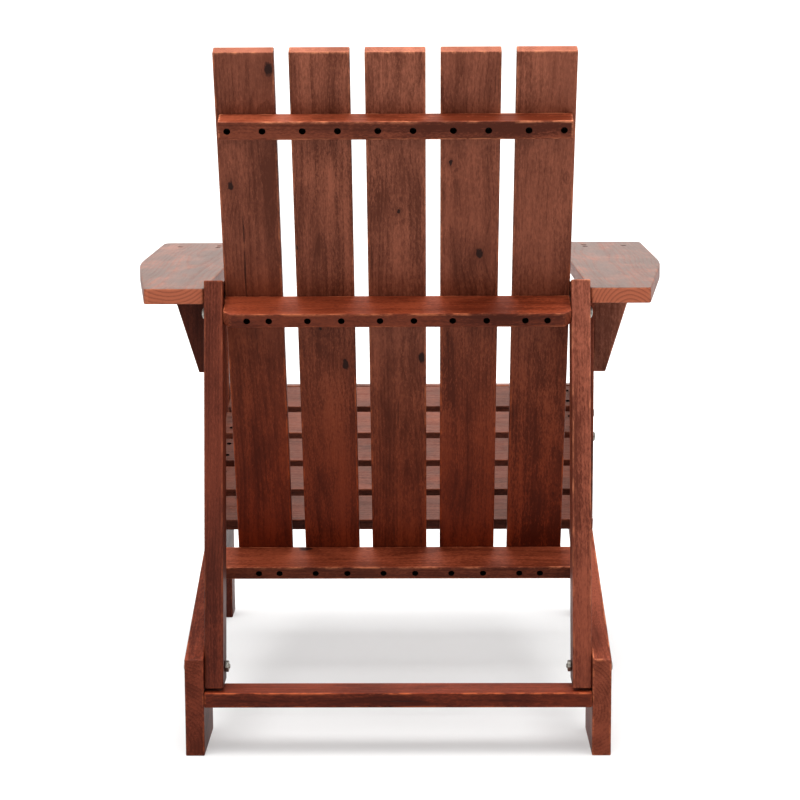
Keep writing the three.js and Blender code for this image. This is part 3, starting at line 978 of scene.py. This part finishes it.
def timbers(scene):
    """The chair's timbers, each made once."""
    finish = scene.armchair_finish
    if "back timber" not in bpy.data.materials:
        # Each timber's painted top light on what faces up, its dust and painted sheen, and the redness that
        # deepens its painted shade low down.
        timber("back timber", finish.back_stain, finish, painted_top_light=0.3, redness=2.0, knots=0.85, sawn=0.2)
        timber("rail timber", finish.rail_stain, finish, painted_top_light=1.35, redness=0.6, knots=0.22)
        timber(
            "frame timber", finish.frame_stain, finish, painted_top_light=0.6, knots=0.3, ring_width=0.0042, sawn=0.2
        )
        timber("seat timber", finish.seat_stain, finish, painted_top_light=0.3, dust_and_sheen=0.3, knots=0.22)
        timber(
            "arm timber", finish.arm_stain, finish, painted_top_light=0.3, dust_and_sheen=0.9, knots=0.3,
            ring_width=0.0048, sawn=0.9,
        )
    return bpy.data.materials


def metals(scene):
    """The chair's metals, each made once."""
    if "plated steel" not in bpy.data.materials:
        plated_metal("plated steel", scene.armchair_finish.zinc)
        plated_metal("dark steel", scene.armchair_finish.screw)
    return bpy.data.materials


class ARMCHAIR_OT_back(bpy.types.Operator):
    """Builds the five slats of the back"""

    bl_idname = "armchair.back"
    bl_label = "Back slats"

    def execute(self, context):
        material = timbers(context.scene)["back timber"]
        for number, tone in enumerate(BACK_TONES, 1):
            finish_board(f"back_slat_{number}", context.scene.armchair_sizes, material, tone)
        return {"FINISHED"}


class ARMCHAIR_OT_battens(bpy.types.Operator):
    """Builds the battens behind the slats and the stretcher between the feet"""

    bl_idname = "armchair.battens"
    bl_label = "Battens and stretcher"

    def execute(self, context):
        sizes = context.scene.armchair_sizes
        material = timbers(context.scene)["rail timber"]

        def pockets(cutters, board):
            starts, into = pocket_starts(board, sizes)
            for start in starts:
                drill_bit(cutters, start, into, sizes.pocket_depth, sizes.pocket_radius)

        for node, tone in BATTEN_TONES.items():
            finish_board(node, sizes, material, tone, drill=pockets)
        finish_board("rear_stretcher", sizes, material, STRETCHER_TONE)
        return {"FINISHED"}


class ARMCHAIR_OT_seat(bpy.types.Operator):
    """Builds the seat slats and the apron under their front"""

    bl_idname = "armchair.seat"
    bl_label = "Seat"

    def execute(self, context):
        sizes = context.scene.armchair_sizes
        material = timbers(context.scene)["seat timber"]

        def counterbores(cutters, board):
            starts, into = seat_screw_starts(board, sizes)
            for start in starts:
                drill_bit(cutters, start, into, sizes.seat_screw_sink, sizes.screw_radius + FIT)

        for number, tone in enumerate(SEAT_TONES, 1):
            finish_board(f"seat_slat_{number}", sizes, material, tone, drill=counterbores)
        finish_board("front_apron", sizes, material, APRON_TONE)
        return {"FINISHED"}


class ARMCHAIR_OT_sides(bpy.types.Operator):
    """Builds the side rails, the rear posts and the front legs"""

    bl_idname = "armchair.sides"
    bl_label = "Side frames"

    def execute(self, context):
        sizes = context.scene.armchair_sizes
        material = timbers(context.scene)["frame timber"]
        for side in SIDES:
            finish_board(f"{side}_side_rail", sizes, material, RAIL_TONES[side])
            finish_board(f"{side}_rear_post", sizes, material, POST_TONES[side])
            finish_board(f"{side}_front_leg", sizes, material, LEG_TONE)
        return {"FINISHED"}


class ARMCHAIR_OT_arms(bpy.types.Operator):
    """Builds the arms and the brackets under their front"""

    bl_idname = "armchair.arms"
    bl_label = "Arms"

    def execute(self, context):
        sizes = context.scene.armchair_sizes
        material = timbers(context.scene)["arm timber"]
        for side in SIDES:
            finish_board(f"{side}_arm", sizes, material, ARM_TONE)
            finish_board(f"{side}_arm_bracket", sizes, material, BRACKET_TONES[side], grain=UPRIGHT)
        return {"FINISHED"}


class ARMCHAIR_OT_bolts(bpy.types.Operator):
    """Turns the domed bolts and shapes their nuts"""

    bl_idname = "armchair.bolts"
    bl_label = "Bolts and nuts"

    def execute(self, context):
        sizes = context.scene.armchair_sizes
        material = metals(context.scene)["plated steel"]
        for node, bolt in FASTENERS.items():
            if node.endswith("_bolt"):
                bm = turned(bolt_profile(bolt), sizes.spin_steps)
                bm.transform(bolt.place())
                piece = new_piece(f"{node}_metal", bm, material)
                soften(piece)
                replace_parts(piece, node)
        for node in SLOTS:
            if node.endswith("_nut"):
                hex_nut(node, material)
        return {"FINISHED"}


class ARMCHAIR_OT_screws(bpy.types.Operator):
    """Makes the screws of the frame, the battens and the seat"""

    bl_idname = "armchair.screws"
    bl_label = "Screws"

    def execute(self, context):
        sizes = context.scene.armchair_sizes
        material = metals(context.scene)["dark steel"]
        draw = random.Random(SCREW_SEED)
        for node, screw in FASTENERS.items():
            if not node.endswith("_bolt"):
                measures = (screw.head_radius, screw.head_height, screw.shank_radius, screw.length)
                mesh = screw_mesh(sizes, *measures)
                place = screw.place() @ Matrix.Rotation(draw.uniform(0, math.pi), 4, "Z")
                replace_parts(screws_piece(f"{node}_metal", mesh, [place], material), node)
                bpy.data.meshes.remove(mesh)
        head = sizes.screw_radius
        height = head * SCREW_HEAD_HEIGHT
        small = screw_mesh(sizes, head, height, head * SCREW_SHANK, sizes.small_screw_length)
        for node in BATTEN_TONES:
            starts, into = pocket_starts(Board(node), sizes)
            sunk = sizes.pocket_depth - height
            places = [driven(start, into, sunk, draw) for start in starts]
            screws_piece(f"{node}_screws", small, places, material)
        for number in range(1, SLAT_COUNT + 1):
            node = f"seat_slat_{number}"
            starts, into = seat_screw_starts(Board(node), sizes)
            sunk = sizes.seat_screw_sink - height
            places = [driven(start, into, sunk, draw) for start in starts]
            screws_piece(f"{node}_screws", small, places, material)
        bpy.data.meshes.remove(small)
        return {"FINISHED"}


class ARMCHAIR_OT_stage(bpy.types.Operator):
    """Sets up the pale round backdrop, the soft lights and the camera"""

    bl_idname = "armchair.stage"
    bl_label = "Stage"

    def execute(self, context):
        stage = context.scene.armchair_stage
        backdrop(stage.glow)
        camera(context.scene, stage)
        soft_light("top light", (0, 0.4, 5.0), CHAIR, 6.0, stage.top_power)
        soft_light("rear light", (0.7, 3.7, 2.3), CHAIR, 2.0, stage.rear_power)
        soft_light("side light", (-3.2, 1.0, 1.8), CHAIR, 1.5, stage.side_power)
        soft_light("wall light", (0, -2.6, 4.2), WALL, 4.0, stage.wall_power)
        room_light(context.scene, stage.room)
        context.scene.view_settings.view_transform = "Standard"
        context.scene.view_settings.look = "Medium High Contrast"
        return {"FINISHED"}


def backdrop(glow):
    """A round pale floor, lit a little from below, that curves up into a low wall on all sides."""
    profile = [(0, 0), (FLOOR_RADIUS / 2, 0)]
    for degrees in range(0, 91, 10):
        angle = math.radians(degrees)
        profile.append(
            (FLOOR_RADIUS + math.sin(angle) * BACKDROP_BEND, (1 - math.cos(angle)) * BACKDROP_BEND)
        )
    profile.append((FLOOR_RADIUS + BACKDROP_BEND, BACKDROP_HEIGHT))
    bm = turned(profile, BACKDROP_STEPS)
    above = Vector((0, 0, BACKDROP_HEIGHT))
    outward = [face for face in bm.faces if face.normal.dot(above - face.calc_center_median()) < 0]
    bmesh.ops.reverse_faces(bm, faces=outward)
    floor = stand_mesh("backdrop", bm)
    floor.data.shade_smooth()
    paper = Shader("pale paper")
    place = paper.node("ShaderNodeTexCoord", out="Object")
    mottle = paper.noise(place, MOTTLE, 3.0)
    colour = paper.mix(mottle, (0.44, 0.438, 0.435), (0.47, 0.47, 0.47))
    finish = paper.finish(
        Base_Color=colour, Roughness=0.8, Emission_Color=(1.0, 1.0, 1.0), Emission_Strength=glow
    )
    floor.data.materials.append(finish)


def camera(scene, stage):
    """Stands behind the chair, a little to one side and above its seat, looking down at it."""
    lens = bpy.data.cameras.new("camera")
    lens.sensor_width = SENSOR_WIDTH
    lens.lens = stage.lens
    lens.clip_end = VIEW_DEPTH
    view = stand("camera", lens)
    turn = Matrix.Rotation(math.pi + stage.turn, 4, "Z")
    tilt = Matrix.Rotation(math.pi / 2 - stage.tilt, 4, "X")
    roll = Matrix.Rotation(stage.roll, 4, "Z")
    view.matrix_world = Matrix.Translation(Vector(stage.eye)) @ turn @ tilt @ roll
    scene.camera = view


def soft_light(name, place, target, size, power):
    """A round lamp of some size that points at a target."""
    light = bpy.data.lights.new(name, "AREA")
    light.shape = "DISK"
    light.size = size
    light.energy = power
    lamp = stand(name, light)
    aim = (target - Vector(place)).to_track_quat("-Z", "Y").to_matrix().to_4x4()
    lamp.matrix_world = Matrix.Translation(place) @ aim


def room_light(scene, strength):
    """Even warm light from all round."""
    world = bpy.data.worlds.new("room")
    world.use_nodes = True
    background = world.node_tree.nodes["Background"]
    background.inputs["Color"].default_value = (1.0, 0.99, 0.97, 1.0)
    background.inputs["Strength"].default_value = strength
    scene.world = world


class ARMCHAIR_PT_panel(bpy.types.Panel):
    """Lists the chair's sizes, colours and building steps"""

    bl_idname = "ARMCHAIR_PT_panel"
    bl_label = "Slatted Armchair"
    bl_space_type = "VIEW_3D"
    bl_region_type = "UI"
    bl_category = "Armchair"

    def draw(self, context):
        for group in GROUPS:
            box = self.layout.box()
            settings = getattr(context.scene, group)
            for name in settings.__annotations__:
                box.prop(settings, name)
        for operator in OPERATORS:
            self.layout.operator(operator.bl_idname)


OPERATORS = (
    ARMCHAIR_OT_back, ARMCHAIR_OT_battens, ARMCHAIR_OT_seat, ARMCHAIR_OT_sides, ARMCHAIR_OT_arms,
    ARMCHAIR_OT_bolts, ARMCHAIR_OT_screws, ARMCHAIR_OT_stage,
)
GROUPS = {
    "armchair_sizes": ArmchairSizes,
    "armchair_finish": ArmchairFinish,
    "armchair_stage": ArmchairStage,
}


def register():
    for entry in (*GROUPS.values(), *OPERATORS, ARMCHAIR_PT_panel):
        bpy.utils.register_class(entry)
    for name, group in GROUPS.items():
        setattr(bpy.types.Scene, name, PointerProperty(type=group))


def unregister():
    for name in GROUPS:
        delattr(bpy.types.Scene, name)
    for entry in (ARMCHAIR_PT_panel, *reversed(OPERATORS), *reversed(GROUPS.values())):
        bpy.utils.unregister_class(entry)


def main():
    register()
    bpy.ops.armchair.back()
    bpy.ops.armchair.battens()
    bpy.ops.armchair.seat()
    bpy.ops.armchair.sides()
    bpy.ops.armchair.arms()
    bpy.ops.armchair.bolts()
    bpy.ops.armchair.screws()
    bpy.ops.armchair.stage()


if __name__ == "__main__":
    main()
